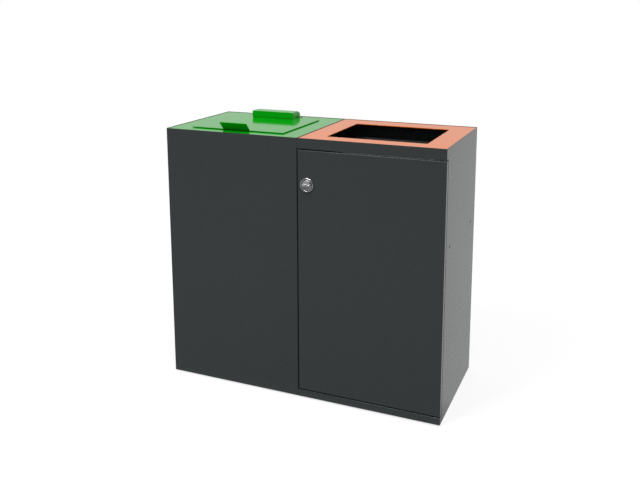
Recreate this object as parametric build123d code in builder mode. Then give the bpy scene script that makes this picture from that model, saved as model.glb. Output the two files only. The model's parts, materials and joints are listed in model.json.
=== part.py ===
from build123d import *

import os
from math import cos, radians, sin, sqrt, tan

# Recycling station: two sheet steel cabinets stand side by side. Each holds a bin behind a door.
# All lengths are in millimetres. X runs to the right, Y to the back and Z up, with the origin on
# the floor under the middle of the station. A cabinet is drawn about its own middle with its door
# at the front, then placed. The left cabinet stands turned, with its door at the back.

# Cabinet shell
cabinet_width = 450.0
cabinet_depth = 390.0
top_height = 820.0
floor_gap = 5.0
sheet = 1.5
bend_radius = 2.5
fold_radius = 1.5
joining_hole_radius = 4.5
joining_hole_inset = 60.0
joining_hole_height = 527.0

# Door frame
header_height = 32.0
plinth_height = 22.0
rail_depth = 24.0
jamb_width = 15.0

# Coloured top
plate = 2.0
plate_drop = 1.0
plate_gap = 1.5
plate_edge_radius = 0.6
opening_side_margin = 71.5
opening_front_margin = 59.0
opening_back_margin = 73.0
opening_corner_radius = 4.0
ledge_leg = 16.0
ledge_gap = 1.0
stud_radius = 2.5
stud_length = 14.0
stud_side_inset = 9.0
stud_end_inset = 65.0
stud_hole_clearance = 0.25
top_nut_across = 8.0
top_nut_height = 4.0

# Door
door_thickness = 18.0
door_gap = 3.0
door_back_gap = 1.6
jamb_gap = 3.0
door_lip = 14.0
door_edge_radius = 2.0
hat_width = 60.0
hat_depth = 12.0
hat_flange = 12.0
hat_end_gap = 20.0

# Door hinge
pivot_from_side = 8.0
pivot_from_front = 10.0
door_pin_radius = 3.0
door_pin_reach = 16.0
door_pin_head_radius = 5.0
door_pin_head_height = 2.5
door_pin_collar_radius = 6.0
bush_radius = 5.0
bush_flange_radius = 6.0
bush_flange = 1.0
bush_length = 14.0
running_clearance = 0.06
moving_gap = 0.3

# Turn lock
lock_from_side = 33.4
lock_below_top = 138.4
rose_radius = 21.5
rose_rim = 4.5
rose_height = 5.0
rose_base = 1.2
rose_edge_radius = 2.0
lock_body_radius = 10.0
lock_flange_radius = 13.0
lock_flange = 0.8
lock_nut_across = 27.0
lock_nut_height = 4.0
spindle_radius = 4.0
spindle_nose_radius = 3.0
knob_gap = 0.8
knob_disc_height = 4.0
knob_edge_radius = 1.4
grip_length = 27.0
grip_width = 9.0
grip_height = 6.0
grip_edge_radius = 1.8
cam = 2.5
cam_gap = 0.6
cam_width = 12.0
cam_hub_radius = 7.0
cam_reach = 25.0
cam_screw_radius = 2.0
cam_screw_length = 8.0
cam_screw_head_radius = 4.0
cam_screw_head_height = 2.5

# Door bumpers
bumper_radius = 4.0
bumper_end_distance = 60.0

# Inner bin
bin_side_overlap = 21.5
bin_end_overlap = 21.0
bin_top_gap = 46.0
bin_draft_inset = 20.0
bin_wall = 2.5
bin_corner_radius = 25.0
bin_rim = 8.0
bin_rim_height = 4.0

# Levelling feet
foot_inset = 30.0
foot_radius = 12.5
foot_height = 7.0
foot_edge_radius = 1.0
foot_stem_radius = 4.0
foot_stem_rise = 6.0
foot_hole_clearance = 0.5
foot_nut_across = 13.0
foot_nut_height = 6.5

# Joining bolts
bolt_radius = 4.0
bolt_head_across = 13.0
bolt_head_height = 5.3
bolt_nut_height = 6.5
bolt_end = 3.0
bolt_hole_clearance = 0.2
thread_clearance = 0.05

# Lid
lid_sheet = 2.0
lid_gap = 1.4
lid_side_overlap = 6.5
lid_front_overlap = 12.0
lid_back_overlap = 8.0
lid_corner_radius = 3.0
tab_width = 93.0
tab_length = 34.0
tab_angle = 47.0
tab_bend_radius = 1.5
pad_radius = 3.5
pad_side_inset = 40.0
pad_end_inset = 4.0

# Lid hinge
lid_hinge_behind_lid = 16.5
barrel_radius = 11.0
barrel_length = 152.0
outer_knuckle_length = 30.0
cover_front_reach = 46.5
cover_height = 19.5
cover_bend_radius = 1.0
cover_barrel_gap = 3.5
leaf = 2.5
leaf_inset = 1.0
leaf_barrel_gap = 2.5
lid_pin_radius = 4.0
lid_pin_end_gap = 5.0
lid_bush_radius = 6.0
cap_head_radius = 8.0
cap_head = 1.0
cap_depth = 3.0
bracket_base = 2.0
bracket_depth = 30.0
bracket_saddle_depth = 9.0
bracket_saddle_height = 9.0
leaf_screw_radius = 2.0
leaf_screw_head_radius = 3.5
leaf_screw_head_height = 2.0
leaf_screw_inset = 6.0
leaf_screw_spacing = 50.0
leaf_screw_count = 3
bracket_screw_radius = 2.5
bracket_screw_head_radius = 4.5
bracket_screw_head_height = 3.0
bracket_screw_spacing = 115.0
bracket_screw_inset = 11.5
bracket_screw_length = 10.0
bracket_nut_across = 8.0
bracket_nut_height = 4.0

# Places that follow from the sizes above, in a cabinet's own frame
half_width = cabinet_width / 2
front = -cabinet_depth / 2
back = cabinet_depth / 2
inner_side = half_width - sheet
inner_back = back - sheet
plate_top = top_height - plate_drop
plate_bottom = plate_top - plate
header_bottom = top_height - header_height
plinth_top = floor_gap + plinth_height
door_left = -half_width + door_gap
door_right = half_width
door_bottom = plinth_top + door_gap
door_top = header_bottom - door_gap
door_back = front + door_thickness
side_front = door_back + door_back_gap
jamb_front = door_back + jamb_gap
jamb_back = jamb_front + sheet
pivot = (half_width - pivot_from_side, front + pivot_from_front)
lock_face = Plane(
    origin=(-half_width + lock_from_side, front, top_height - lock_below_top),
    x_dir=(1, 0, 0),
    z_dir=(0, -1, 0),
)
flange_top = rose_base + lock_flange
knob_bottom = flange_top + moving_gap
cam_front_depth = jamb_back - front + cam_gap
foot_spots = [
    (x * (half_width - foot_inset), y * (cabinet_depth / 2 - foot_inset))
    for x in (-1, 1)
    for y in (-1, 1)
]
stud_spots = [
    (x * (inner_side - stud_side_inset), y * (cabinet_depth / 2 - stud_end_inset))
    for x in (-1, 1)
    for y in (-1, 1)
]
joining_spots = [
    (y * (cabinet_depth / 2 - joining_hole_inset), joining_hole_height) for y in (-1, 1)
]

# Places in the station's frame
opening_width = cabinet_width - 2 * opening_side_margin
opening_front = front + opening_front_margin
opening_back = back - opening_back_margin
opening_depth = opening_back - opening_front
opening_middle = (opening_front + opening_back) / 2
bin_width = opening_width + 2 * bin_side_overlap
bin_depth = opening_depth + 2 * bin_end_overlap
bin_mouth = plate_bottom - bin_top_gap - bin_rim_height
left_middle = -cabinet_width / 2
right_middle = cabinet_width / 2
lid_bottom = plate_top + lid_gap
lid_top = lid_bottom + lid_sheet
lid_front = opening_front - lid_front_overlap
lid_back = opening_back + lid_back_overlap
lid_width = opening_width + 2 * lid_side_overlap
hinge_y = lid_back + lid_hinge_behind_lid
hinge_z = plate_top + barrel_radius
hinge_end = barrel_length / 2
knuckle_end = hinge_end - outer_knuckle_length
cover_front = hinge_y - cover_front_reach
leaf_front = cover_front + leaf_inset
bracket_back = hinge_y + bracket_depth
lid_hinge_side = Plane(origin=(left_middle, hinge_y, hinge_z), x_dir=(0, 1, 0), z_dir=(1, 0, 0))
bracket_screw_y = bracket_back - bracket_screw_inset
bracket_screw_spots = [
    (left_middle + x * bracket_screw_spacing / 2, bracket_screw_y) for x in (-1, 1)
]
leaf_screw_spots = [
    (left_middle + (n - (leaf_screw_count - 1) / 2) * leaf_screw_spacing, leaf_front + leaf_screw_inset)
    for n in range(leaf_screw_count)
]


# Shapes that many pieces share


def block(x, y, z, mode=Mode.ADD):
    """Adds or cuts a block between two values of x, two of y and two of z."""
    with BuildSketch(Plane.XY.offset(z[0])) as profile:
        with Locations(((x[0] + x[1]) / 2, (y[0] + y[1]) / 2)):
            Rectangle(abs(x[1] - x[0]), y[1] - y[0])
    extrude(profile.sketch, amount=z[1] - z[0], mode=mode)


def rods(plane, spots, radius, length, mode=Mode.ADD):
    """Adds or cuts round rods that stand on a plane; a negative length goes below it."""
    with BuildSketch(plane) as profile:
        with Locations(*spots):
            Circle(radius)
    extrude(profile.sketch, amount=length, mode=mode)


def make_nuts(plane, spots, across, height, thread_radius):
    """Hexagon nuts that stand on a plane."""
    with BuildPart() as nuts:
        with BuildSketch(plane):
            with Locations(*spots):
                RegularPolygon(across / 2, 6, major_radius=False)
        extrude(amount=height)
        rods(plane, spots, thread_radius + thread_clearance, height, Mode.SUBTRACT)
    return nuts


def make_screws(plane, spots, head_radius, head_height, shank_radius, shank_length):
    """Screws with round heads on a plane and shanks that go through it."""
    with BuildPart() as screws:
        rods(plane, spots, head_radius, head_height)
        rods(plane, spots, shank_radius, -shank_length)
    return screws


# Cabinet shell


def make_casing():
    """The sides and the closed back, folded from one sheet, with returns that frame the door.

    The bolts' holes in the joined side fit closely; those in the free side are for a third cabinet.
    """
    with BuildPart() as casing:
        with BuildSketch(Plane.XY.offset(floor_gap)) as outline:
            Rectangle(cabinet_width, cabinet_depth)
            fillet(outline.vertices().group_by(Axis.Y)[-1], bend_radius)
        extrude(amount=top_height - floor_gap)
        with BuildSketch(Plane.XY.offset(floor_gap)) as hollow:
            with Locations((0, (front + inner_back) / 2)):
                Rectangle(2 * inner_side, inner_back - front)
            fillet(hollow.vertices().group_by(Axis.Y)[-1], bend_radius - sheet)
        extrude(amount=top_height - floor_gap, mode=Mode.SUBTRACT)
        block((-half_width, half_width), (front, side_front), (plinth_top, header_bottom), Mode.SUBTRACT)
        for side in (-1, 1):
            block(
                (side * inner_side, side * (half_width - jamb_width)),
                (jamb_front, jamb_back),
                (plinth_top, header_bottom),
            )
        bolt_hole_radius = bolt_radius + bolt_hole_clearance
        rods(Plane.YZ.offset(-half_width), joining_spots, bolt_hole_radius, sheet, Mode.SUBTRACT)
        rods(Plane.YZ.offset(half_width), joining_spots, joining_hole_radius, -sheet, Mode.SUBTRACT)
    return casing


def make_header_rail():
    """The strip above the door, a channel that is open at its back."""
    with BuildPart() as rail:
        block((-inner_side, inner_side), (front, front + sheet), (header_bottom, top_height))
        for low in (header_bottom, plate_bottom - sheet):
            block((-inner_side, inner_side), (front, front + rail_depth), (low, low + sheet))
        fillet(rail.edges().filter_by(Axis.X).group_by(Axis.Y)[0].sort_by(Axis.Z)[:1], fold_radius)
        rods(Plane.XY.offset(header_bottom), [pivot], door_pin_radius, sheet, Mode.SUBTRACT)
    return rail


def make_base_pan():
    """The floor of the cabinet, folded down all round; its front fold is the plinth strip."""
    with BuildPart() as pan:
        with BuildSketch(Plane.XY.offset(floor_gap)) as outline:
            with Locations((0, (front + inner_back) / 2)):
                Rectangle(2 * inner_side, inner_back - front)
            fillet(outline.vertices().group_by(Axis.Y)[-1], bend_radius)
        extrude(amount=plinth_height)
        fillet(pan.faces().sort_by(Axis.Z)[-1].edges(), fold_radius)
        block(
            (sheet - inner_side, inner_side - sheet),
            (front + sheet, inner_back - sheet),
            (floor_gap, plinth_top - sheet),
            Mode.SUBTRACT,
        )
        foot_hole_radius = foot_stem_radius + foot_hole_clearance
        rods(Plane.XY.offset(plinth_top), foot_spots, foot_hole_radius, -sheet, Mode.SUBTRACT)
        rods(Plane.XY.offset(plinth_top), [pivot], door_pin_radius, -sheet, Mode.SUBTRACT)
    return pan


def make_top_ledges():
    """Angle strips on the sides and the back that carry the coloured top."""
    ledge_front = front + rail_depth
    ledge_back = inner_back - bend_radius
    back_ledge_end = inner_side - ledge_leg - ledge_gap
    with BuildPart() as ledges:
        for side in (-1, 1):
            for reach, drop in ((ledge_leg, sheet), (sheet, ledge_leg)):
                block(
                    (side * inner_side, side * (inner_side - reach)),
                    (ledge_front, ledge_back),
                    (plate_bottom - drop, plate_bottom),
                )
        for reach, drop in ((ledge_leg, sheet), (sheet, ledge_leg)):
            block(
                (-back_ledge_end, back_ledge_end),
                (inner_back - reach, inner_back),
                (plate_bottom - drop, plate_bottom),
            )
        hole_radius = stud_radius + stud_hole_clearance
        rods(Plane.XY.offset(plate_bottom), stud_spots, hole_radius, -sheet, Mode.SUBTRACT)
    return ledges


def make_top_frame(middle, screw_spots):
    """The coloured top plate with the throw opening and four studs."""
    plate_x = (middle - inner_side + plate_gap, middle + inner_side - plate_gap)
    plate_y = (front + sheet + plate_gap, inner_back - plate_gap)
    with BuildPart() as frame:
        block(plate_x, plate_y, (plate_bottom, plate_top))
        with BuildSketch(Plane.XY.offset(plate_top)):
            with Locations((middle, opening_middle)):
                RectangleRounded(opening_width, opening_depth, opening_corner_radius)
        extrude(amount=-plate, mode=Mode.SUBTRACT)
        fillet(frame.edges().group_by(Axis.Z)[-1], plate_edge_radius)
        spots = [(middle + x, y) for x, y in stud_spots]
        rods(Plane.XY.offset(plate_bottom), spots, stud_radius, -stud_length)
        if screw_spots:
            rods(Plane.XY.offset(plate_top), screw_spots, bracket_screw_radius, -plate, Mode.SUBTRACT)
    return frame


# Door


def make_door_panel():
    """A folded pan: front skin, four returns and a narrow lip round the open back."""
    with BuildPart() as door:
        block((door_left, door_right), (front, door_back), (door_bottom, door_top))
        fillet(door.faces().sort_by(Axis.Y)[0].edges(), door_edge_radius)
        fillet(door.faces().sort_by(Axis.Y)[-1].edges(), door_edge_radius)
        block(
            (door_left + sheet, door_right - sheet),
            (front + sheet, door_back - sheet),
            (door_bottom + sheet, door_top - sheet),
            Mode.SUBTRACT,
        )
        block(
            (door_left + door_lip, door_right - door_lip),
            (door_back - sheet, door_back),
            (door_bottom + door_lip, door_top - door_lip),
            Mode.SUBTRACT,
        )
        rods(lock_face, [(0, 0)], lock_body_radius + thread_clearance, -sheet, Mode.SUBTRACT)
        rods(Plane.XY.offset(door_bottom), [pivot], bush_radius, sheet, Mode.SUBTRACT)
        rods(Plane.XY.offset(door_top), [pivot], bush_radius, -sheet, Mode.SUBTRACT)
    return door


def make_door_stiffener():
    """A hat section up the middle of the door, on the back of its skin."""
    middle = (door_left + door_right) / 2
    skin_back = front + sheet
    ends = (door_bottom + sheet + hat_end_gap, door_top - sheet - hat_end_gap)
    crown_back = skin_back + hat_depth
    with BuildPart() as hat:
        block(
            (middle - hat_width / 2, middle + hat_width / 2),
            (crown_back - sheet, crown_back),
            ends,
        )
        for side in (-1, 1):
            web = middle + side * hat_width / 2
            block((web, web - side * sheet), (skin_back, crown_back), ends)
            block((web, web + side * hat_flange), (skin_back, skin_back + sheet), ends)
    return hat


def make_hinge_pins():
    """The two fixed pins that the door turns on; the lower one has the collar that carries it."""
    collar_height = door_gap - bush_flange - moving_gap
    with BuildPart() as pins:
        rail_top = Plane.XY.offset(header_bottom + sheet)
        rods(rail_top, [pivot], door_pin_head_radius, door_pin_head_height)
        rods(rail_top, [pivot], door_pin_radius, -(sheet + door_gap + door_pin_reach))
        pan_under = Plane.XY.offset(plinth_top - sheet)
        rods(pan_under, [pivot], door_pin_head_radius, -door_pin_head_height)
        rods(pan_under, [pivot], door_pin_radius, sheet + door_gap + door_pin_reach)
        rods(Plane.XY.offset(plinth_top), [pivot], door_pin_collar_radius, collar_height)
    return pins


def make_hinge_bushes():
    """Flanged bushes in the door's top and bottom returns."""
    with BuildPart() as bushes:
        for height, inward in ((door_bottom, 1), (door_top, -1)):
            end = Plane.XY.offset(height)
            rods(end, [pivot], bush_flange_radius, -inward * bush_flange)
            rods(end, [pivot], bush_radius, inward * bush_length)
            face = end.offset(-inward * bush_flange)
            bore = door_pin_radius + running_clearance
            rods(face, [pivot], bore, inward * (bush_flange + bush_length), Mode.SUBTRACT)
    return bushes


def make_door_bumpers():
    """Rubber bumpers on the lock side's return that the door closes on."""
    bumper_x = -(inner_side + half_width - jamb_width) / 2
    jamb = Plane(origin=(bumper_x, jamb_front, 0), x_dir=(1, 0, 0), z_dir=(0, -1, 0))
    heights = (door_bottom + bumper_end_distance, door_top - bumper_end_distance)
    with BuildPart() as bumpers:
        rods(jamb, [(0, height) for height in heights], bumper_radius, jamb_gap - moving_gap)
    return bumpers


# Turn lock


def make_lock_rose():
    """The dished ring round the knob."""
    with BuildPart() as rose:
        rods(lock_face, [(0, 0)], rose_radius, rose_height)
        fillet(rose.edges().group_by(Axis.Y)[0], rose_edge_radius)
        dish_radius = rose_radius - rose_rim
        rods(lock_face.offset(rose_base), [(0, 0)], dish_radius, rose_height - rose_base, Mode.SUBTRACT)
        rods(lock_face, [(0, 0)], lock_body_radius + thread_clearance, rose_base, Mode.SUBTRACT)
    return rose


def make_lock_body():
    """The threaded barrel through the door, with a flange that clamps the rose."""
    body_depth = cam_front_depth - cam_gap
    with BuildPart() as body:
        rods(lock_face.offset(rose_base), [(0, 0)], lock_flange_radius, lock_flange)
        rods(lock_face.offset(rose_base), [(0, 0)], lock_body_radius, -(rose_base + body_depth))
        bore = spindle_radius + running_clearance
        rods(lock_face.offset(flange_top), [(0, 0)], bore, -(flange_top + body_depth), Mode.SUBTRACT)
    return body


def make_lock_knob():
    """The turn knob: a disc with a grip bar, on the spindle that carries the cam."""
    knob_radius = rose_radius - rose_rim - knob_gap
    knob_face = lock_face.offset(knob_bottom)
    with BuildPart() as knob:
        rods(knob_face, [(0, 0)], knob_radius, knob_disc_height)
        fillet(knob.edges().group_by(Axis.Y)[0], knob_edge_radius)
        with BuildSketch(knob_face.offset(knob_disc_height)):
            SlotOverall(grip_length, grip_width)
        extrude(amount=grip_height)
        fillet(knob.edges().group_by(Axis.Y)[0], grip_edge_radius)
        rods(knob_face, [(0, 0)], spindle_radius, -(knob_bottom + cam_front_depth))
        rods(lock_face.offset(-cam_front_depth), [(0, 0)], spindle_nose_radius, -cam)
        nose_end = lock_face.offset(-(cam_front_depth + cam))
        rods(nose_end, [(0, 0)], cam_screw_radius, cam_screw_length, Mode.SUBTRACT)
    return knob


def make_lock_cam():
    """The cam, hanging down when the lock is open; a quarter turn puts it behind the return."""
    with BuildPart() as cam_plate:
        with BuildSketch(lock_face.offset(-cam_front_depth)) as outline:
            with Locations((0, -cam_reach / 2)):
                Rectangle(cam_width, cam_reach)
            fillet(outline.vertices().group_by(Axis.Y)[0], cam_width / 4)
            Circle(cam_hub_radius)
            Circle(spindle_nose_radius, mode=Mode.SUBTRACT)
        extrude(amount=-cam)
    return cam_plate


def make_lock_nut():
    """The hexagon nut that clamps the lock to the door's skin."""
    skin_back = lock_face.offset(-sheet - lock_nut_height)
    return make_nuts(skin_back, [(0, 0)], lock_nut_across, lock_nut_height, lock_body_radius)


def make_cam_screw():
    """The screw that holds the cam on the spindle."""
    cam_back = Plane(
        origin=lock_face.offset(-(cam_front_depth + cam)).origin, x_dir=(1, 0, 0), z_dir=(0, 1, 0)
    )
    head = (cam_screw_head_radius, cam_screw_head_height)
    return make_screws(cam_back, [(0, 0)], *head, cam_screw_radius, cam_screw_length)


# Bin and feet


def bin_outline(middle, height, grow, corner_radius):
    """The bin's rounded outline at a height, larger or smaller than its mouth all round."""
    with BuildSketch(Plane.XY.offset(height)) as outline:
        with Locations((middle, opening_middle)):
            RectangleRounded(bin_width + 2 * grow, bin_depth + 2 * grow, corner_radius)
    return outline.sketch


def make_inner_bin(middle):
    """A tapered bin with a turned-out rim, under the throw opening."""
    inner_corner = bin_corner_radius - bin_wall
    with BuildPart() as inner_bin:
        loft(
            [
                bin_outline(middle, plinth_top, -bin_draft_inset, bin_corner_radius),
                bin_outline(middle, bin_mouth, 0, bin_corner_radius),
            ]
        )
        loft(
            [
                bin_outline(middle, plinth_top + bin_wall, -bin_draft_inset - bin_wall, inner_corner),
                bin_outline(middle, bin_mouth, -bin_wall, inner_corner),
            ],
            mode=Mode.SUBTRACT,
        )
        rim_outside = bin_outline(middle, bin_mouth, bin_rim, bin_corner_radius + bin_rim)
        extrude(rim_outside, amount=bin_rim_height)
        rim_inside = bin_outline(middle, bin_mouth, -bin_wall, inner_corner)
        extrude(rim_inside, amount=bin_rim_height, mode=Mode.SUBTRACT)
    return inner_bin


def make_foot(spot):
    """A levelling foot: a round pad on a threaded stem."""
    with BuildPart() as foot:
        rods(Plane.XY, [spot], foot_radius, foot_height)
        fillet(foot.edges().filter_by(GeomType.CIRCLE), foot_edge_radius)
        stem_length = plinth_top + foot_stem_rise - foot_height
        rods(Plane.XY.offset(foot_height), [spot], foot_stem_radius, stem_length)
    return foot


def make_foot_nuts():
    """Nuts welded under the base pan."""
    under = Plane.XY.offset(plinth_top - sheet - foot_nut_height)
    return make_nuts(under, foot_spots, foot_nut_across, foot_nut_height, foot_stem_radius)


# Joining bolts between the cabinets


def make_joining_bolts():
    """Hexagon bolts through both cabinets' inner sides, with their heads in the right one."""
    with BuildPart() as bolts:
        with BuildSketch(Plane.YZ.offset(sheet)):
            with Locations(*joining_spots):
                RegularPolygon(bolt_head_across / 2, 6, major_radius=False)
        extrude(amount=bolt_head_height)
        shank = 2 * sheet + bolt_nut_height + bolt_end
        rods(Plane.YZ.offset(sheet), joining_spots, bolt_radius, -shank)
    return bolts


def make_joining_nuts():
    """The bolts' nuts, in the left cabinet."""
    face = Plane.YZ.offset(-sheet - bolt_nut_height)
    return make_nuts(face, joining_spots, bolt_head_across, bolt_nut_height, bolt_radius)


# Lid and its hinge


def make_lid_panel():
    """The flat lid, with a finger tab folded up and forward from its front edge."""
    lean = radians(tab_angle)
    along = Vector(-cos(lean), sin(lean)) * tab_length
    across = Vector(sin(lean), cos(lean)) * lid_sheet
    root = Vector(lid_front, lid_bottom)
    crease = root + across + along.normalized() * lid_sheet * tan(lean / 2)
    side = Plane(origin=(left_middle, 0, 0), x_dir=(0, 1, 0), z_dir=(1, 0, 0))
    with BuildPart() as lid:
        with BuildSketch(side):
            with BuildLine():
                Polyline(
                    (root.X, root.Y),
                    ((root + along).X, (root + along).Y),
                    ((root + along + across).X, (root + along + across).Y),
                    (crease.X, crease.Y),
                    (crease.X, root.Y),
                    close=True,
                )
            make_face()
        extrude(amount=tab_width / 2, both=True)
        with BuildSketch(Plane.XY.offset(lid_bottom)):
            with Locations((left_middle, (lid_front + lid_back) / 2)):
                RectangleRounded(lid_width, lid_back - lid_front, lid_corner_radius)
        extrude(amount=lid_sheet)
        inner_bend = lid.edges().filter_by(Axis.X).sort_by_distance((left_middle, crease.X, lid_top))[:1]
        fillet(inner_bend, tab_bend_radius)
        holes = leaf_screw_radius + thread_clearance
        rods(Plane.XY.offset(lid_bottom), leaf_screw_spots, holes, lid_sheet, Mode.SUBTRACT)
    return lid


def make_lid_pads():
    """Thin pads under the lid's front and back edges."""
    pad_height = lid_gap - moving_gap
    spots = [
        (left_middle + x * (lid_width / 2 - pad_side_inset), y)
        for x in (-1, 1)
        for y in (lid_front + pad_end_inset, lid_back - pad_end_inset)
    ]
    with BuildPart() as pads:
        rods(Plane.XY.offset(lid_bottom), spots, pad_radius, -pad_height)
    return pads


def make_hinge_cover():
    """The folded box on the leaf; its ends curve round the barrel behind it."""
    cover_z = (lid_top + leaf, lid_top + leaf + cover_height)
    cover_x = (left_middle - hinge_end, left_middle + hinge_end)
    sweep_radius = barrel_radius + cover_barrel_gap
    with BuildPart() as cover:
        block(cover_x, (cover_front, hinge_y), cover_z)
        fillet(cover.edges().filter_by(Axis.X).group_by(Axis.Y)[0].sort_by(Axis.Z)[-1:], cover_bend_radius)
        block(
            (cover_x[0] + sheet, cover_x[1] - sheet),
            (cover_front + sheet, hinge_y),
            (cover_z[0], cover_z[1] - sheet),
            Mode.SUBTRACT,
        )
        rods(lid_hinge_side.offset(-hinge_end), [(0, 0)], sweep_radius, barrel_length, Mode.SUBTRACT)
    return cover


def make_hinge_leaf():
    """The leaf on the lid, under the cover, with the middle knuckle."""
    knuckle_radius = barrel_radius - moving_gap
    knuckle_half = knuckle_end - moving_gap
    wide_back = hinge_y - barrel_radius - leaf_barrel_gap
    leaf_z = (lid_top, lid_top + leaf)
    leaf_half = hinge_end - leaf_inset
    leaf_x = (left_middle - leaf_half, left_middle + leaf_half)
    knuckle_x = (left_middle - knuckle_half, left_middle + knuckle_half)
    with BuildPart() as leaf_plate:
        block(leaf_x, (leaf_front, wide_back), leaf_z)
        block(knuckle_x, (wide_back, hinge_y - lid_pin_radius), leaf_z)
        rods(lid_hinge_side.offset(-knuckle_half), [(0, 0)], knuckle_radius, 2 * knuckle_half)
        bore = lid_pin_radius + thread_clearance
        rods(lid_hinge_side.offset(-knuckle_half), [(0, 0)], bore, 2 * knuckle_half, Mode.SUBTRACT)
        holes = leaf_screw_radius + thread_clearance
        rods(Plane.XY.offset(lid_top), leaf_screw_spots, holes, leaf, Mode.SUBTRACT)
    return leaf_plate


def make_hinge_bracket():
    """The bracket on the top plate, with the two outer knuckles."""
    base_z = (plate_top, plate_top + bracket_base)
    saddle_z = (plate_top, plate_top + bracket_saddle_height)
    middle_front = hinge_y + barrel_radius + moving_gap
    with BuildPart() as bracket:
        block((left_middle - hinge_end, left_middle + hinge_end), (middle_front, bracket_back), base_z)
        for side in (-1, 1):
            x = (left_middle + side * knuckle_end, left_middle + side * hinge_end)
            block(x, (hinge_y, middle_front), base_z)
            block(x, (hinge_y, hinge_y + bracket_saddle_depth), saddle_z)
            face = lid_hinge_side.offset(side * knuckle_end)
            rods(face, [(0, 0)], barrel_radius, side * outer_knuckle_length)
            rods(face, [(0, 0)], lid_bush_radius, side * outer_knuckle_length, Mode.SUBTRACT)
        base = Plane.XY.offset(plate_top)
        rods(base, bracket_screw_spots, bracket_screw_radius, bracket_base, Mode.SUBTRACT)
    return bracket


def make_lid_hinge_pin():
    """The pin, fixed in the middle knuckle."""
    pin_half = hinge_end - lid_pin_end_gap
    with BuildPart() as pin:
        rods(lid_hinge_side.offset(-pin_half), [(0, 0)], lid_pin_radius, 2 * pin_half)
    return pin


def make_lid_hinge_bushes():
    """Plain bushes in the outer knuckles."""
    with BuildPart() as bushes:
        for side in (-1, 1):
            face = lid_hinge_side.offset(side * knuckle_end)
            length = side * (outer_knuckle_length - cap_depth)
            rods(face, [(0, 0)], lid_bush_radius, length)
            rods(face, [(0, 0)], lid_pin_radius + running_clearance, length, Mode.SUBTRACT)
    return bushes


def make_hinge_caps():
    """Caps that close the outer knuckles."""
    with BuildPart() as caps:
        for side in (-1, 1):
            face = lid_hinge_side.offset(side * hinge_end)
            rods(face, [(0, 0)], cap_head_radius, side * cap_head)
            rods(face, [(0, 0)], lid_bush_radius, -side * cap_depth)
    return caps


# Every piece of a cabinet is written for the left and for the right

os.makedirs("parts", exist_ok=True)


def save(piece, node):
    """Labels a finished piece and writes its file."""
    piece.label = node
    export_step(piece, f"parts/{node}.step")


shared_pieces = {
    "casing": make_casing(),
    "header_rail": make_header_rail(),
    "base_pan": make_base_pan(),
    "top_ledges": make_top_ledges(),
    "top_nuts": make_nuts(
        Plane.XY.offset(plate_bottom - sheet - top_nut_height),
        stud_spots,
        top_nut_across,
        top_nut_height,
        stud_radius,
    ),
    "door_panel": make_door_panel(),
    "door_stiffener": make_door_stiffener(),
    "hinge_pins": make_hinge_pins(),
    "hinge_bushes": make_hinge_bushes(),
    "door_bumpers": make_door_bumpers(),
    "lock_rose": make_lock_rose(),
    "lock_body": make_lock_body(),
    "lock_nut": make_lock_nut(),
    "lock_knob": make_lock_knob(),
    "lock_cam": make_lock_cam(),
    "lock_cam_screw": make_cam_screw(),
    "foot_nuts": make_foot_nuts(),
}
foot_names = ("foot_1", "foot_2", "foot_3", "foot_4")
for name, spot in zip(foot_names, foot_spots):
    shared_pieces[name] = make_foot(spot)

# The left cabinet stands turned, so its closed back faces forward
half_turn = 180
left_place = Location((left_middle, 0, 0), (0, 0, half_turn))
right_place = Location((right_middle, 0, 0))
for side, place in (("left", left_place), ("right", right_place)):
    for name, piece in shared_pieces.items():
        save(piece.part.moved(place), f"{side}_{name}")

save(make_top_frame(left_middle, bracket_screw_spots).part, "left_top_frame")
save(make_top_frame(right_middle, []).part, "right_top_frame")
save(make_inner_bin(left_middle).part, "left_inner_bin")
save(make_inner_bin(right_middle).part, "right_inner_bin")
save(make_joining_bolts().part, "joining_bolts")
save(make_joining_nuts().part, "joining_nuts")

save(make_lid_panel().part, "lid_panel")
save(make_lid_pads().part, "lid_pads")
save(make_hinge_cover().part, "lid_hinge_cover")
save(make_hinge_leaf().part, "lid_hinge_leaf")
save(make_lid_hinge_pin().part, "lid_hinge_pin")
save(
    make_screws(
        Plane(origin=(0, 0, lid_bottom), x_dir=(1, 0, 0), z_dir=(0, 0, -1)),
        [(x, -y) for x, y in leaf_screw_spots],
        leaf_screw_head_radius,
        leaf_screw_head_height,
        leaf_screw_radius,
        lid_sheet + leaf,
    ).part,
    "lid_leaf_screws",
)
save(make_hinge_bracket().part, "lid_hinge_bracket")
save(make_lid_hinge_bushes().part, "lid_hinge_bushes")
save(make_hinge_caps().part, "lid_hinge_caps")
save(
    make_screws(
        Plane.XY.offset(plate_top + bracket_base),
        bracket_screw_spots,
        bracket_screw_head_radius,
        bracket_screw_head_height,
        bracket_screw_radius,
        bracket_screw_length,
    ).part,
    "bracket_screws",
)
save(
    make_nuts(
        Plane.XY.offset(plate_bottom - bracket_nut_height),
        bracket_screw_spots,
        bracket_nut_across,
        bracket_nut_height,
        bracket_screw_radius,
    ).part,
    "bracket_nuts",
)
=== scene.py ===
import json
import math

import bmesh
import bpy
from mathutils import Matrix, Vector


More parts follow.
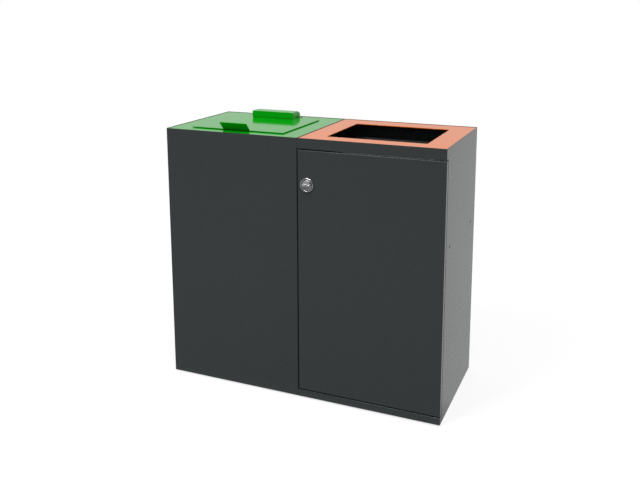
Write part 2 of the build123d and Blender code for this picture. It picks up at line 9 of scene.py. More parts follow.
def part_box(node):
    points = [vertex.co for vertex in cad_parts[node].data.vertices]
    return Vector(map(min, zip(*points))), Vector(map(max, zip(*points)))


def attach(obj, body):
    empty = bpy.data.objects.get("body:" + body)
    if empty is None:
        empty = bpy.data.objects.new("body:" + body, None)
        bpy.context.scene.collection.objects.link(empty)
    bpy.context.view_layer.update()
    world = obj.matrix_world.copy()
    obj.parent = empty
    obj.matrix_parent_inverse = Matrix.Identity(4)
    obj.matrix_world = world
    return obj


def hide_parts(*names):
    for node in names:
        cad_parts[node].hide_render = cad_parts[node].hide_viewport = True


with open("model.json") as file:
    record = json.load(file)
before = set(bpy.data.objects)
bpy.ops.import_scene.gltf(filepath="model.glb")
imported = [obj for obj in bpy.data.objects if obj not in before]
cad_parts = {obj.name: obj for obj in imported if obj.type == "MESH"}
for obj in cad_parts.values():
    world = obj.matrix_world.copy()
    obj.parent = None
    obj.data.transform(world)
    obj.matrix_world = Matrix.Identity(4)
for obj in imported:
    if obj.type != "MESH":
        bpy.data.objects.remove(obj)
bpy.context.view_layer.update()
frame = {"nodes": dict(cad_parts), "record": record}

SIDES = ("left", "right")

# Camera, placed where the photograph was taken
CAMERA_PLACE = (0.9334, -2.1959, 1.2207)
CAMERA_TILT = math.radians(79.606)
CAMERA_TURN = math.radians(22.518)
CAMERA_LENS = 43.17
CAMERA_SHIFT = (-0.0142, -0.1577)

# Light: every colour renders about as it is written
SKY_LEVEL = 0.40
FRONT_MIRROR = 0.10
BACK_MIRROR = 0.70
MIRROR_TURN = (-0.2, 0.4)
FLOOR_TURN = (-0.28, 0.0)
SUN_LEVEL = 1.33
SUN_FROM = (0.25, -0.36, 1.0)
SUN_SPREAD = math.radians(26)
SUN_PLACE = (0, 0, 3)
SOFTBOX_PLACE = (-0.56, -1.57, 2.71)
SOFTBOX_TARGET = (0.0, 0.0, 0.70)
SOFTBOX_SIZE = (0.8, 1.2)
SOFTBOX_POWER = 27.0
FLOOR_HALF = 9.0
FLOOR_SHADE = 0.35
FLOOR_GLOW = 0.72
FLOOR_MIRROR_GLOW = 0.60

# Finish: scales of the noise in cells per metre, heights of the relief in metres, and shares of
# the colour or the roughness between which the noise moves it
PLAIN_IOR = 1.5
NOISE_RANGE = (0.3, 0.7)
CLOUD_DETAIL = 3.0
GRAIN_DETAIL = 2.0
PEEL_DETAIL = 1.0
COAT_MOTTLE_SCALE = 9.0
COAT_MOTTLE_SHARES = (0.97, 1.03)
COAT_GRAIN_SCALE = 160.0
COAT_GRAIN_SHARES = (0.92, 1.08)
COAT_PEEL_SCALE = 420.0
METAL_CLOUD_SCALE = 45.0
METAL_CLOUD_SHARES = (0.92, 1.06)
METAL_GRAIN_SHARES = (0.6, 1.5)
PLASTIC_CLOUD_SCALE = 30.0
PLASTIC_CLOUD_SHARES = (0.85, 1.2)
PLASTIC_GRAIN_SHARES = (0.85, 1.15)
POWDER_COATS = {
    "anthracite": dict(color=(0.038, 0.046, 0.047), roughness=0.28, ior=1.50, peel=0.000005),
    "green": dict(color=(0.001, 0.36, 0.004), roughness=0.10, ior=1.45, peel=0.00001),
    "orange": dict(color=(0.80, 0.175, 0.006), roughness=0.12, ior=1.40, peel=0.00001),
}
METALS = {
    "chrome": dict(color=(0.70, 0.71, 0.72), roughness=0.28, grain_scale=300.0),
    "zinc": dict(color=(0.55, 0.56, 0.57), roughness=0.34, grain_scale=500.0),
}
PLASTICS = {
    "black_plastic": dict(color=(0.020, 0.020, 0.022), roughness=0.50, grain_scale=900.0, relief=0.00005),
    "nylon": dict(color=(0.66, 0.65, 0.60), roughness=0.42, grain_scale=700.0, relief=0.00002),
    "rubber": dict(color=(0.018, 0.018, 0.018), roughness=0.7, grain_scale=1200.0, relief=0.00005),
}

# Edges of folded sheet, and the steps, hexagons and threads of the detailed pieces
SHARP_ANGLE = math.radians(35)
EDGE_WIDTH = 0.0003
EDGE_STEPS = 2
WELD_DISTANCE = 0.00001
SOFT_EDGED = (
    "casing",
    "header_rail",
    "base_pan",
    "door_stiffener",
    "top_ledges",
    "lid_panel",
    "hinge_cover",
    "hinge_bracket",
    "hinge_leaf",
    "lock_cam",
    "_nuts",
)
ROUND_STEPS = 48
OVAL_STEPS = 7
HEX = 6
CORNER_CUT_SHARE = 0.96
CORNER_CUT_ANGLE = math.radians(30)
THREAD_PITCH = 0.00125
THREAD_DEPTH = 0.0006
THREAD_LEVELS = 6
THREAD_STEPS = 24

# Lock rose, outwards from the face of the door
LOCK_STEPS = 96
ROSE_BORE_RADIUS = 0.01005
ROSE_FLOOR = 0.0010
ROSE_FLOOR_RADIUS = 0.0160
ROSE_RIM_START = 0.0172
ROSE_CREST_RADIUS = 0.0193
ROSE_RADIUS = 0.0215
ROSE_SHOULDER = 0.0024
ROSE_HEIGHT = 0.0050

# Turn knob: its spindle, its disc, the dish in it as radius and height of its points, and its grip
# as height, length and width of its levels
SPINDLE_RADIUS = 0.0040
SPINDLE_END = -0.0256
NOSE_RADIUS = 0.0030
NOSE_LENGTH = 0.0025
DISC_RADIUS = 0.0148
DISC_BOTTOM = 0.0023
DISC_TOP = 0.0063
DISC_BOTTOM_EDGE = 0.0014
DISC_TOP_EDGE = 0.0016
DISH_POINTS = ((0.0122, 0.0060), (0.0100, 0.0052), (0.0060, 0.0048), (0, 0.0048))
GRIP_LEVELS = (
    (0.0048, 0.0292, 0.0112),
    (0.0058, 0.0280, 0.0100),
    (0.0066, 0.0272, 0.0092),
    (0.0076, 0.0268, 0.0088),
    (0.0100, 0.0266, 0.0084),
    (0.0112, 0.0258, 0.0076),
    (0.0119, 0.0242, 0.0060),
    (0.0122, 0.0210, 0.0034),
)
GRIP_STEPS = 64
GRIP_SQUARENESS = 0.7
GRIP_WAIST_SHARE = 0.48

# Levelling foot: shares of the pad's radius and the heights they are at, its ribs and its stem
FOOT_NUMBERS = (1, 2, 3, 4)
FOOT_REACH_SHARES = (0.70, 0.75, 0.93, 1, 1, 0.94, 0.80)
FOOT_LEVELS = (0.0006, 0, 0, 0.0012, 0.0052, 0.0066, 0.0070)
FOOT_STEPS = 192
FOOT_RIBS = 24
FOOT_RIB = 0.0007
FOOT_STEM_RADIUS = 0.0040
FOOT_STEM_START = 0.0060

# Inner bin: its rolled rim, its wall with shares of its height, and its foot ring
BIN_RIM = 0.008
BIN_RIM_HEIGHT = 0.004
BIN_RIM_EASE = 0.0009
BIN_RIM_CUT = 0.0008
BIN_RIM_ROUND = 0.0028
BIN_LIP = 0.0002
BIN_ROLL = 0.009
BIN_SHOULDER = 0.001
BIN_SHOULDER_STEP = 0.0005
BIN_DRAFT = 0.020
BIN_WALL = 0.0025
BIN_CORNER = 0.025
BIN_CORNER_STEPS = 8
BIN_RUN_STEPS = 48
BIN_RIBS = 6
BIN_RIB = 0.002
BIN_LEVEL_SHARES = (0.02, 0.06, 0.075, 0.3, 0.55, 0.8, 0.885, 0.90, 0.96)
BIN_RIB_SHARES = (0.07, 0.89)
BIN_FOOT_INSET = 0.046
BIN_FOOT_ROUND = 0.004
BIN_FOOT_STEP = 0.002
BIN_RECESS = 0.003

# Screws: radius and height of the head, radius and length of the shank; then shares of the
# shank's radius at its tip, of the head at its crown, and of the head at its hexagon socket
BRACKET_SCREW = (0.0045, 0.003, 0.0025, 0.010)
LEAF_SCREW = (0.0035, 0.002, 0.002, 0.0045)
TIP_SHARE = 0.8
TIP_RISE_SHARE = 0.3
CROWN_SHARE = 0.45
CROWN_RISE_SHARE = 0.25
SOCKET_SHARE = 0.36
SOCKET_MOUTH_SHARE = 1.25
SOCKET_EDGE_SHARE = 0.95
SOCKET_WALL_SHARE = 0.35
SOCKET_FLOOR_SHARE = 0.3

# Bolts and nuts between the cabinets
JOINING_SPREAD = 0.135
BOLT_RADIUS = 0.0040
BOLT_APOTHEM = 0.0065
BOLT_SEAT = 0.0015
BOLT_THREAD_END = 0.0020
NUT_BORE_RADIUS = 0.00405

# Caps of the lid's hinge, and door bumpers with the span of their dome in degrees
CAP_RADIUS = 0.006
CAP_DEPTH = 0.003
CAP_BEVEL = 0.0004
CAP_HEAD_RADIUS = 0.008
CAP_HEAD = 0.001
CAP_ROUND = 0.0012
CAP_ROUND_RISE = 0.0008
BUMPER_RADIUS = 0.0040
BUMPER_BASE_SHARE = 0.4
BUMPER_DOME_SPAN = (20, 80)


def camera():
    """The camera at the photograph's viewing angle."""
    lens = bpy.data.cameras.new("camera")
    lens.lens = CAMERA_LENS
    lens.shift_x, lens.shift_y = CAMERA_SHIFT
    shot = bpy.data.objects.new("camera", lens)
    shot.location = CAMERA_PLACE
    shot.rotation_euler = (CAMERA_TILT, 0, CAMERA_TURN)
    bpy.context.scene.collection.objects.link(shot)
    bpy.context.scene.camera = shot


def ray_kinds(nodes, links):
    """Two factors: 1 for camera rays, and 1 for glossy and transmission rays."""
    path = nodes.new("ShaderNodeLightPath")
    mirrored = nodes.new("ShaderNodeMath")
    mirrored.operation = "MAXIMUM"
    links.new(path.outputs["Is Glossy Ray"], mirrored.inputs[0])
    links.new(path.outputs["Is Transmission Ray"], mirrored.inputs[1])
    return path.outputs["Is Camera Ray"], mirrored.outputs[0]


def back_share(nodes, links, coordinates, turn):
    """A value that changes softly from the front to the back, between two values of Y."""
    axes = nodes.new("ShaderNodeSeparateXYZ")
    links.new(coordinates, axes.inputs[0])
    ramp = nodes.new("ShaderNodeMapRange")
    ramp.interpolation_type = "SMOOTHSTEP"
    ramp.inputs["From Min"].default_value, ramp.inputs["From Max"].default_value = turn
    links.new(axes.outputs["Y"], ramp.inputs["Value"])
    return ramp


def choose(nodes, links, factor, no, yes):
    """One of two shaders."""
    mix = nodes.new("ShaderNodeMixShader")
    links.new(factor, mix.inputs[0])
    links.new(no, mix.inputs[1])
    links.new(yes, mix.inputs[2])
    return mix.outputs[0]


def sky():
    """A studio: white where it is seen, a plain level as light, and darker in front in mirrors."""
    world = bpy.data.worlds.new("studio")
    bpy.context.scene.world = world
    world.use_nodes = True
    nodes, links = world.node_tree.nodes, world.node_tree.links
    nodes.clear()
    output = nodes.new("ShaderNodeOutputWorld")
    light, white, mirror = (nodes.new("ShaderNodeBackground") for _ in range(3))
    for kind in (light, white, mirror):
        kind.inputs["Color"].default_value = (1, 1, 1, 1)
    light.inputs["Strength"].default_value = SKY_LEVEL
    direction = nodes.new("ShaderNodeTexCoord")
    ramp = back_share(nodes, links, direction.outputs["Generated"], MIRROR_TURN)
    ramp.inputs["To Min"].default_value = FRONT_MIRROR
    ramp.inputs["To Max"].default_value = BACK_MIRROR
    links.new(ramp.outputs["Result"], mirror.inputs["Strength"])
    seen, mirrored = ray_kinds(nodes, links)
    either = choose(nodes, links, mirrored, light.outputs[0], mirror.outputs[0])
    links.new(choose(nodes, links, seen, either, white.outputs[0]), output.inputs[0])


def lamps():
    """Broad soft light from above, in front and to the right, and the softbox that edges glint in."""
    sun = bpy.data.lights.new("sun", "SUN")
    sun.energy = SUN_LEVEL
    sun.angle = SUN_SPREAD
    softbox = bpy.data.lights.new("softbox", "AREA")
    softbox.shape = "RECTANGLE"
    softbox.size, softbox.size_y = SOFTBOX_SIZE
    softbox.energy = SOFTBOX_POWER
    aim = Vector(SOFTBOX_PLACE) - Vector(SOFTBOX_TARGET)
    for lamp, place, back in ((sun, SUN_PLACE, Vector(SUN_FROM)), (softbox, SOFTBOX_PLACE, aim)):
        stand = bpy.data.objects.new(lamp.name, lamp)
        stand.location = place
        stand.rotation_euler = back.to_track_quat("Z", "Y").to_euler()
        bpy.context.scene.collection.objects.link(stand)


def floor():
    """A white floor that fades into the background and keeps the object's shadow."""
    mesh = bpy.data.meshes.new("floor")
    corners = [(x * FLOOR_HALF, y * FLOOR_HALF, 0) for x, y in ((-1, -1), (1, -1), (1, 1), (-1, 1))]
    mesh.from_pydata(corners, [], [(0, 1, 2, 3)])
    piece = bpy.data.objects.new("floor", mesh)
    bpy.context.scene.collection.objects.link(piece)
    material = bpy.data.materials.new("floor")
    material.use_nodes = True
    nodes, links = material.node_tree.nodes, material.node_tree.links
    nodes.clear()
    output = nodes.new("ShaderNodeOutputMaterial")
    paint = nodes.new("ShaderNodeBsdfDiffuse")
    paint.inputs["Color"].default_value = (FLOOR_SHADE, FLOOR_SHADE, FLOOR_SHADE, 1)
    glow, mirror_glow = (nodes.new("ShaderNodeEmission") for _ in range(2))
    glow.inputs["Strength"].default_value = FLOOR_GLOW
    place = nodes.new("ShaderNodeTexCoord")
    ramp = back_share(nodes, links, place.outputs["Object"], FLOOR_TURN)
    ramp.inputs["To Max"].default_value = FLOOR_MIRROR_GLOW
    links.new(ramp.outputs["Result"], mirror_glow.inputs["Strength"])
    lit, lit_mirror = (nodes.new("ShaderNodeAddShader") for _ in range(2))
    for both, shine in ((lit, glow), (lit_mirror, mirror_glow)):
        links.new(paint.outputs[0], both.inputs[0])
        links.new(shine.outputs[0], both.inputs[1])
    seen, mirrored = ray_kinds(nodes, links)
    either = choose(nodes, links, mirrored, paint.outputs[0], lit_mirror.outputs[0])
    links.new(choose(nodes, links, seen, either, lit.outputs[0]), output.inputs[0])
    mesh.materials.append(material)


# Materials


def principled(name, color, roughness, metallic=0.0, ior=PLAIN_IOR):
    """A material, its nodes and links, its shader and the coordinates of a point on the object."""
    material = bpy.data.materials.new(name)
    material.use_nodes = True
    nodes, links = material.node_tree.nodes, material.node_tree.links
    shader = nodes["Principled BSDF"]
    shader.inputs["Base Color"].default_value = (*color, 1)
    shader.inputs["Roughness"].default_value = roughness
    shader.inputs["Metallic"].default_value = metallic
    shader.inputs["IOR"].default_value = ior
    place = nodes.new("ShaderNodeTexCoord")
    return material, nodes, links, shader, place.outputs["Object"]


def noise(nodes, links, place, scale, detail=GRAIN_DETAIL):
    """Noise with a size in cells per metre."""
    texture = nodes.new("ShaderNodeTexNoise")
    texture.inputs["Scale"].default_value = scale
    texture.inputs["Detail"].default_value = detail
    links.new(place, texture.inputs["Vector"])
    return texture.outputs["Fac"]


def spread(nodes, links, value, middle, shares):
    """A noise value, brought between two shares of a middle value."""
    ramp = nodes.new("ShaderNodeMapRange")
    ramp.inputs["From Min"].default_value, ramp.inputs["From Max"].default_value = NOISE_RANGE
    low, high = shares
    ramp.inputs["To Min"].default_value = middle * low
    ramp.inputs["To Max"].default_value = middle * high
    links.new(value, ramp.inputs["Value"])
    return ramp.outputs["Result"]


def tint(nodes, links, value, color, shares):
    """A colour that a value takes from a darker to a lighter shade."""
    mix = nodes.new("ShaderNodeMix")
    mix.data_type = "RGBA"
    for socket, share in zip(("A", "B"), shares):
        mix.inputs[socket].default_value = (*[c * share for c in color], 1)
    links.new(value, mix.inputs["Factor"])
    return mix.outputs["Result"]


def bump(nodes, links, value, height):
    """A relief of a height in metres."""
    relief = nodes.new("ShaderNodeBump")
    relief.inputs["Strength"].default_value = 1.0
    relief.inputs["Distance"].default_value = height
    links.new(value, relief.inputs["Height"])
    return relief.outputs["Normal"]


def powder_coat(name, color, roughness, ior, peel):
    """Powder coat: a faint mottle, grain in the gloss and the gentle waves of orange peel."""
    material, nodes, links, shader, place = principled(name, color, roughness, ior=ior)
    mottle = noise(nodes, links, place, COAT_MOTTLE_SCALE, CLOUD_DETAIL)
    links.new(tint(nodes, links, mottle, color, COAT_MOTTLE_SHARES), shader.inputs["Base Color"])
    grain = noise(nodes, links, place, COAT_GRAIN_SCALE)
    gloss = spread(nodes, links, grain, roughness, COAT_GRAIN_SHARES)
    links.new(gloss, shader.inputs["Roughness"])
    waves = noise(nodes, links, place, COAT_PEEL_SCALE, PEEL_DETAIL)
    links.new(bump(nodes, links, waves, peel), shader.inputs["Normal"])
    return material


def metal(name, color, roughness, grain_scale):
    """Plated steel: its gloss changes in a fine grain."""
    material, nodes, links, shader, place = principled(name, color, roughness, metallic=1.0)
    cloud = noise(nodes, links, place, METAL_CLOUD_SCALE, CLOUD_DETAIL)
    links.new(tint(nodes, links, cloud, color, METAL_CLOUD_SHARES), shader.inputs["Base Color"])
    grain = noise(nodes, links, place, grain_scale)
    gloss = spread(nodes, links, grain, roughness, METAL_GRAIN_SHARES)
    links.new(gloss, shader.inputs["Roughness"])
    return material


def moulded(name, color, roughness, grain_scale, relief):
    """Moulded plastic or rubber with a fine grain."""
    material, nodes, links, shader, place = principled(name, color, roughness)
    cloud = noise(nodes, links, place, PLASTIC_CLOUD_SCALE, CLOUD_DETAIL)
    links.new(tint(nodes, links, cloud, color, PLASTIC_CLOUD_SHARES), shader.inputs["Base Color"])
    grain = noise(nodes, links, place, grain_scale)
    gloss = spread(nodes, links, grain, roughness, PLASTIC_GRAIN_SHARES)
    links.new(gloss, shader.inputs["Roughness"])
    links.new(bump(nodes, links, grain, relief), shader.inputs["Normal"])
    return material


MATERIALS = {
    name: make(name, **values)
    for make, table in ((powder_coat, POWDER_COATS), (metal, METALS), (moulded, PLASTICS))
    for name, values in table.items()
}


def dress_cad_nodes():
    """Every CAD node takes the material of its slot, and folded sheet gets softened edges."""
    for part in frame["record"]["subparts"]:
        node = frame["nodes"][part["node"]]
        for place in node.material_slots:
            place.material = MATERIALS[part["material_slot"]]
        if part["node"].endswith(SOFT_EDGED):
            weld = node.modifiers.new("weld", "WELD")
            weld.merge_threshold = WELD_DISTANCE
            edges = node.modifiers.new("edges", "BEVEL")
            edges.width = EDGE_WIDTH
            edges.segments = EDGE_STEPS
            edges.limit_method = "ANGLE"
            edges.angle_limit = SHARP_ANGLE
            edges.harden_normals = True


# Detailed pieces


def rim(angle, radius, sides, limit):
    """How far out a circle reaches, or a polygon with that inner radius, up to a limit."""
    if sides:
        step = 2 * math.pi / sides
        radius = radius / math.cos((angle + step / 2) % step - step / 2)
    return min(radius, limit) if limit else radius


def skin(mesh, rings):
    """Faces between rings of points; a ring of one point is a tip."""
    for low, high in zip(rings, rings[1:]):
        steps = max(len(low), len(high))
        for n in range(steps):
            after = (n + 1) % steps
            below = (low[n % len(low)], low[after % len(low)])
            above = (high[after % len(high)], high[n % len(high)])
            mesh.faces.new(dict.fromkeys(below + above))


def turned(mesh, profile, steps=ROUND_STEPS):
    """A turned form round Z from points (radius, height, sides, limit); a radius of 0 closes it."""
    rings = []
    for radius, height, *form in profile:
        sides, limit = form or (0, 0)
        ring = []
        for n in range(steps if radius else 1):
            angle = 2 * math.pi * n / steps
            reach = rim(angle, radius, sides, limit)
            ring.append(mesh.verts.new((reach * math.cos(angle), reach * math.sin(angle), height)))
        rings.append(ring)
    skin(mesh, rings)


def threaded(mesh, radius, low, high, steps=THREAD_STEPS):
    """A threaded stem round Z."""
    count = math.ceil((high - low) / THREAD_PITCH * THREAD_LEVELS)
    rings = [[mesh.verts.new((0, 0, low))]]
    for level in range(count + 1):
        height = low + (high - low) * level / count
        ring = []
        for n in range(steps):
            turn = (height / THREAD_PITCH - n / steps) % 1
            reach = radius - THREAD_DEPTH * abs(2 * turn - 1)
            angle = 2 * math.pi * n / steps
            ring.append(mesh.verts.new((reach * math.cos(angle), reach * math.sin(angle), height)))
        rings.append(ring)
    rings.append([mesh.verts.new((0, 0, high))])
    skin(mesh, rings)


def oval(middle, across, up, start, stop, steps=OVAL_STEPS):
    """Points of a profile on an oval, between two angles in degrees."""
    turns = [math.radians(start + (stop - start) * n / steps) for n in range(steps + 1)]
    return [(middle[0] + across * math.cos(t), middle[1] + up * math.sin(t)) for t in turns]


def squared(share):
    """A cosine or sine pushed outwards, which turns a circle into a rounded square."""
    return math.copysign(abs(share) ** GRIP_SQUARENESS, share)


def facing(middle, direction):
    """A place whose Z points along a direction."""
    turn = Vector(direction).to_track_quat("Z", "Y").to_matrix().to_4x4()
    return Matrix.Translation(middle) @ turn


def finish_piece(name, mesh, places, slot, body, *nodes):
    """A piece made of one form at each of some places, on a body and in place of some nodes."""
    bmesh.ops.recalc_face_normals(mesh, faces=mesh.faces)
    form = bpy.data.meshes.new("form")
    mesh.to_mesh(form)
    mesh.free()
    whole = bmesh.new()
    for place in places:
        copy = form.copy()
        copy.transform(place)
        whole.from_mesh(copy)
        bpy.data.meshes.remove(copy)
    bpy.data.meshes.remove(form)
    data = bpy.data.meshes.new(name)
    whole.to_mesh(data)
    whole.free()
    data.shade_smooth()
    data.set_sharp_from_angle(angle=SHARP_ANGLE)
    data.materials.append(MATERIALS[slot])
    piece = bpy.data.objects.new(name, data)
    bpy.context.scene.collection.objects.link(piece)
    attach(piece, body)
    if nodes:
        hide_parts(*nodes)


def box_of(node):
    """The lowest and highest corners of a CAD node and its middle."""
    low, high = (Vector(corner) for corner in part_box(node))
    return low, high, (low + high) / 2


def lock_rose(side, face):
    """The rose with its rounded rim and dished floor."""
    rose = bmesh.new()
    crest = (ROSE_CREST_RADIUS, ROSE_SHOULDER)
    rise = ROSE_HEIGHT - ROSE_SHOULDER
    profile = [(ROSE_BORE_RADIUS, 0), (ROSE_BORE_RADIUS, ROSE_FLOOR), (ROSE_FLOOR_RADIUS, ROSE_FLOOR)]
    profile += oval(crest, ROSE_CREST_RADIUS - ROSE_RIM_START, rise, 180, 90)
    profile += oval(crest, ROSE_RADIUS - ROSE_CREST_RADIUS, rise, 80, 0)
    turned(rose, profile + [(ROSE_RADIUS, 0), (ROSE_BORE_RADIUS, 0)], LOCK_STEPS)
    finish_piece(f"{side}_rose_ring", rose, [face], "chrome", f"{side}_door", f"{side}_lock_rose")


def turn_knob(side, face):
    """The turn knob: a spindle, a dished disc and a waisted grip."""
    knob = bmesh.new()
    nose_base = SPINDLE_END + NOSE_LENGTH
    bottom_edge = (DISC_RADIUS - DISC_BOTTOM_EDGE, DISC_BOTTOM + DISC_BOTTOM_EDGE)
    top_edge = (DISC_RADIUS - DISC_TOP_EDGE, DISC_TOP - DISC_TOP_EDGE)
    profile = [(0, SPINDLE_END), (NOSE_RADIUS, SPINDLE_END), (NOSE_RADIUS, nose_base)]
    profile += [(SPINDLE_RADIUS, nose_base), (SPINDLE_RADIUS, DISC_BOTTOM)]
    profile += oval(bottom_edge, DISC_BOTTOM_EDGE, DISC_BOTTOM_EDGE, -90, 0)
    profile += oval(top_edge, DISC_TOP_EDGE, DISC_TOP_EDGE, 0, 90)
    turned(knob, [*profile, *DISH_POINTS], LOCK_STEPS)
    rings = [[knob.verts.new((0, 0, GRIP_LEVELS[0][0]))]]
    for height, length, width in GRIP_LEVELS:
        ring = []
        for n in range(GRIP_STEPS):
            angle = 2 * math.pi * n / GRIP_STEPS
            across, up = squared(math.cos(angle)), squared(math.sin(angle))
            waist = 1 - GRIP_WAIST_SHARE * (1 - across * across)
            ring.append(knob.verts.new((across * length / 2, up * width / 2 * waist, height)))
        rings.append(ring)
    rings.append([knob.verts.new((0, 0, GRIP_LEVELS[-1][0]))])
    skin(knob, rings)
    finish_piece(f"{side}_turn_knob", knob, [face], "chrome", f"{side}_knob", f"{side}_lock_knob")


def lock(side):
    """The rose on the face of the door and the knob in it."""
    out = Vector((0, -1 if side == "right" else 1, 0))
    low, high, middle = box_of(f"{side}_lock_rose")
    face = facing(middle - out * (high.y - low.y) / 2, out)
    lock_rose(side, face)
    turn_knob(side, face)


def foot(side, number):
    """A levelling foot: a ribbed pad on a threaded stem."""
    node = f"{side}_foot_{number}"
    low, high, middle = box_of(node)
    spot = Matrix.Translation((middle.x, middle.y, 0))
    radius = (high.x - low.x) / 2
    pad = bmesh.new()
    rings = [[pad.verts.new((0, 0, FOOT_LEVELS[0]))]]
    for share, height in zip(FOOT_REACH_SHARES, FOOT_LEVELS):
        ring = []
        for n in range(FOOT_STEPS):
            angle = 2 * math.pi * n / FOOT_STEPS
            rib = FOOT_RIB * (1 - math.cos(FOOT_RIBS * angle)) / 2 if share == 1 else 0
            reach = radius * share - rib
            ring.append(pad.verts.new((reach * math.cos(angle), reach * math.sin(angle), height)))
        rings.append(ring)
    skin(pad, rings + [[pad.verts.new((0, 0, FOOT_LEVELS[-1]))]])
    finish_piece(f"{node}_pad", pad, [spot], "black_plastic", node, node)
    stem = bmesh.new()
    threaded(stem, FOOT_STEM_RADIUS, FOOT_STEM_START, high.z)
    finish_piece(f"{node}_stem", stem, [spot], "zinc", node)


def bin_ring(mesh, mouth, grow, height, ribs):
    """One level of the bin: a rounded rectangle whose straight runs carry ribs."""
    corner = BIN_CORNER + max(grow, -BIN_WALL)
    half = Vector((mouth[0] / 2 + grow - corner, mouth[1] / 2 + grow - corner))
    ring = []
    for quadrant in range(4):
        out = Vector((math.cos(math.pi / 2 * (quadrant + 1)), math.sin(math.pi / 2 * (quadrant + 1))))
        along = Vector((-out.y, out.x))
        across, length = (half.y, half.x) if quadrant % 2 == 0 else (half.x, half.y)
        centre = out * across - along * length
        for n in range(BIN_CORNER_STEPS):
            turn = math.pi / 2 * (quadrant + n / BIN_CORNER_STEPS)
            spot = centre + Vector((math.cos(turn), math.sin(turn))) * corner
            ring.append(mesh.verts.new((*spot, height)))
        for n in range(BIN_RUN_STEPS):
            share = n / BIN_RUN_STEPS
            rib = ribs * (1 - math.cos(2 * math.pi * BIN_RIBS * share)) / 2
            spot = centre + out * (corner - rib) + along * 2 * length * share
            ring.append(mesh.verts.new((*spot, height)))
    return ring


def inner_bin(side):
    """The inner bin: a tapered shell with ribs, a rolled rim and a foot ring."""
    node = f"{side}_inner_bin"
    low, high, middle = box_of(node)
    mouth = (high.x - low.x - 2 * BIN_RIM, high.y - low.y - 2 * BIN_RIM)
    bottom, top = low.z, high.z
    shoulder = top - BIN_RIM_HEIGHT
    walls = []
    for share in BIN_LEVEL_SHARES:
        ribs = BIN_RIB if BIN_RIB_SHARES[0] < share < BIN_RIB_SHARES[1] else 0
        walls.append((BIN_DRAFT * (share - 1), bottom + (shoulder - bottom) * share, ribs))
    outside = [
        (-BIN_FOOT_INSET - BIN_FOOT_ROUND, bottom + BIN_RECESS, 0),
        (-BIN_FOOT_INSET, bottom, 0),
        (-BIN_DRAFT - BIN_FOOT_ROUND, bottom, 0),
        (-BIN_DRAFT, bottom + BIN_FOOT_ROUND, 0),
    ]
    rolled_rim = [
        (-BIN_SHOULDER_STEP, shoulder - BIN_SHOULDER, 0),
        (BIN_RIM - BIN_WALL, shoulder - BIN_SHOULDER, 0),
        (BIN_RIM - BIN_WALL, top - BIN_ROLL, 0),
        (BIN_RIM, top - BIN_ROLL, 0),
        (BIN_RIM, top - BIN_WALL, 0),
        (BIN_RIM - BIN_RIM_EASE, top - BIN_RIM_CUT, 0),
        (BIN_RIM - BIN_RIM_ROUND, top, 0),
        (BIN_LIP, top, 0),
        (-BIN_WALL + BIN_RIM_CUT, top - BIN_RIM_CUT, 0),
        (-BIN_WALL, top - BIN_RIM_ROUND, 0),
    ]
    inside = [(grow - BIN_WALL, height, ribs) for grow, height, ribs in reversed(walls)]
    inside += [
        (-BIN_DRAFT - BIN_FOOT_ROUND - BIN_FOOT_STEP, bottom + BIN_WALL, 0),
        (-BIN_FOOT_INSET + BIN_FOOT_STEP, bottom + BIN_WALL, 0),
        (-BIN_FOOT_INSET - BIN_FOOT_STEP, bottom + BIN_WALL + BIN_RECESS, 0),
    ]
    levels = outside + walls + rolled_rim + inside
    shell = bmesh.new()
    rings = [[shell.verts.new((0, 0, levels[0][1]))]]
    rings += [bin_ring(shell, mouth, *level) for level in levels]
    skin(shell, rings + [[shell.verts.new((0, 0, levels[-1][1]))]])
    spot = Matrix.Translation((middle.x, middle.y, 0))
    finish_piece(f"{side}_bin_shell", shell, [spot], "black_plastic", "cabinets", node)


def socket_screws(node, places, sizes, body):
    """Button-head screws with a hexagon socket."""
    head, rise, shank, length = sizes
    screw = bmesh.new()
    profile = [(0, -length), (shank * TIP_SHARE, -length), (shank, shank * TIP_RISE_SHARE - length)]
    profile += [(shank, 0), (head, 0)]
    crown, crown_rise = head * CROWN_SHARE, rise * CROWN_RISE_SHARE
    profile += oval((crown, crown_rise), head - crown, rise - crown_rise, 0, 90)
    socket = head * SOCKET_SHARE
    profile += [(socket * SOCKET_MOUTH_SHARE, rise), (socket, rise * SOCKET_EDGE_SHARE, HEX, 0)]
    profile += [(socket, rise * SOCKET_WALL_SHARE, HEX, 0), (0, rise * SOCKET_FLOOR_SHARE)]
    turned(screw, profile)
    finish_piece(f"{node}_detailed", screw, places, "zinc", body, node)


def hexagon(apothem, low, high):
    """The profile of a hexagon whose corners are cut at both ends, for a bolt's head or a nut."""
    limit = apothem * CORNER_CUT_SHARE
    cut = (apothem / math.cos(math.pi / HEX) - limit) * math.tan(CORNER_CUT_ANGLE)
    ends = [(apothem, low, HEX, limit), (apothem, low + cut, HEX, 0)]
    return ends + [(apothem, high - cut, HEX, 0), (apothem, high, HEX, limit)]


def joining_fasteners():
    """The bolts between the cabinets, and their nuts."""
    low, high, middle = box_of("joining_bolts")
    places = [facing((0, y * JOINING_SPREAD, middle.z), (1, 0, 0)) for y in (-1, 1)]
    bolt = bmesh.new()
    turned(bolt, [(0, BOLT_SEAT)] + hexagon(BOLT_APOTHEM, BOLT_SEAT, high.x) + [(0, high.x)])
    threaded(bolt, BOLT_RADIUS, low.x, BOLT_THREAD_END)
    finish_piece("joining_bolts_detailed", bolt, places, "zinc", "cabinets", "joining_bolts")
    low, high, _ = box_of("joining_nuts")
    nut = bmesh.new()
    start, stop = (NUT_BORE_RADIUS, low.x), (NUT_BORE_RADIUS, high.x)
    turned(nut, [start] + hexagon(BOLT_APOTHEM, low.x, high.x) + [stop, start])
    finish_piece("joining_nuts_detailed", nut, places, "zinc", "cabinets", "joining_nuts")


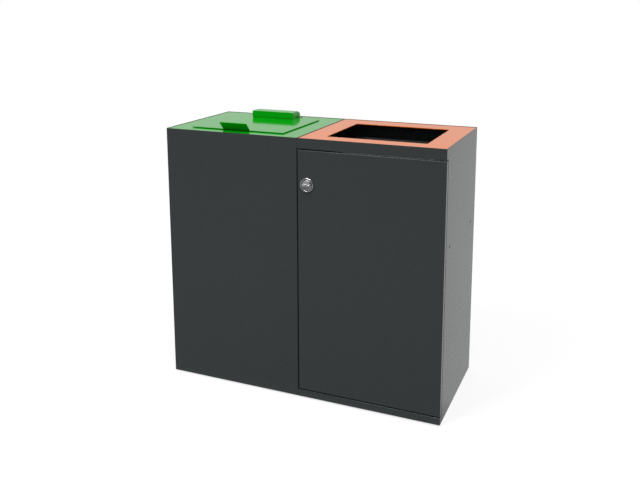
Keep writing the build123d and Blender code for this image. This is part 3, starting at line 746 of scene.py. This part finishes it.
def bracket_screws():
    """The screws that hold the hinge's bracket on the green top."""
    low, high, middle = box_of("bracket_screws")
    head, rise = BRACKET_SCREW[:2]
    spots = [(x, middle.y, high.z - rise) for x in (low.x + head, high.x - head)]
    places = [facing(spot, (0, 0, 1)) for spot in spots]
    socket_screws("bracket_screws", places, BRACKET_SCREW, "cabinets")


def leaf_screws():
    """The screws that hold the hinge's leaf, from under the lid."""
    low, high, middle = box_of("lid_leaf_screws")
    head, rise = LEAF_SCREW[:2]
    spots = [(x, middle.y, low.z + rise) for x in (low.x + head, middle.x, high.x - head)]
    places = [facing(spot, (0, 0, -1)) for spot in spots]
    socket_screws("lid_leaf_screws", places, LEAF_SCREW, "lid")


def hinge_caps():
    """The caps in the ends of the lid's hinge."""
    low, high, middle = box_of("lid_hinge_caps")
    cap = bmesh.new()
    profile = [(0, -CAP_DEPTH), (CAP_RADIUS - CAP_BEVEL, -CAP_DEPTH)]
    profile += [(CAP_RADIUS, CAP_BEVEL - CAP_DEPTH), (CAP_RADIUS, 0), (CAP_HEAD_RADIUS, 0)]
    edge = (CAP_HEAD_RADIUS - CAP_ROUND, CAP_HEAD - CAP_ROUND_RISE)
    profile += oval(edge, CAP_ROUND, CAP_ROUND_RISE, 0, 90)
    turned(cap, profile + [(0, CAP_HEAD)])
    ends = ((low.x + CAP_HEAD, -1), (high.x - CAP_HEAD, 1))
    places = [facing((x, middle.y, middle.z), (turn, 0, 0)) for x, turn in ends]
    finish_piece("lid_hinge_end_caps", cap, places, "green", "cabinets", "lid_hinge_caps")


def bumpers(side):
    """The domed rubber bumpers that the door closes on."""
    node = f"{side}_door_bumpers"
    low, high, middle = box_of(node)
    out, seat = (-1, high.y) if side == "right" else (1, low.y)
    height = high.y - low.y
    base = height * BUMPER_BASE_SHARE
    dome = bmesh.new()
    profile = [(0, 0), (BUMPER_RADIUS, 0), (BUMPER_RADIUS, base)]
    profile += oval((0, base), BUMPER_RADIUS, height - base, *BUMPER_DOME_SPAN)
    turned(dome, profile + [(0, height)])
    spots = [(middle.x, seat, z) for z in (low.z + BUMPER_RADIUS, high.z - BUMPER_RADIUS)]
    places = [facing(spot, (0, out, 0)) for spot in spots]
    finish_piece(f"{node}_detailed", dome, places, "rubber", "cabinets", node)


camera()
sky()
lamps()
floor()
dress_cad_nodes()
for side in SIDES:
    lock(side)
    inner_bin(side)
    bumpers(side)
    for number in FOOT_NUMBERS:
        foot(side, number)
joining_fasteners()
bracket_screws()
leaf_screws()
hinge_caps()
bpy.context.scene.view_settings.view_transform = "Standard"
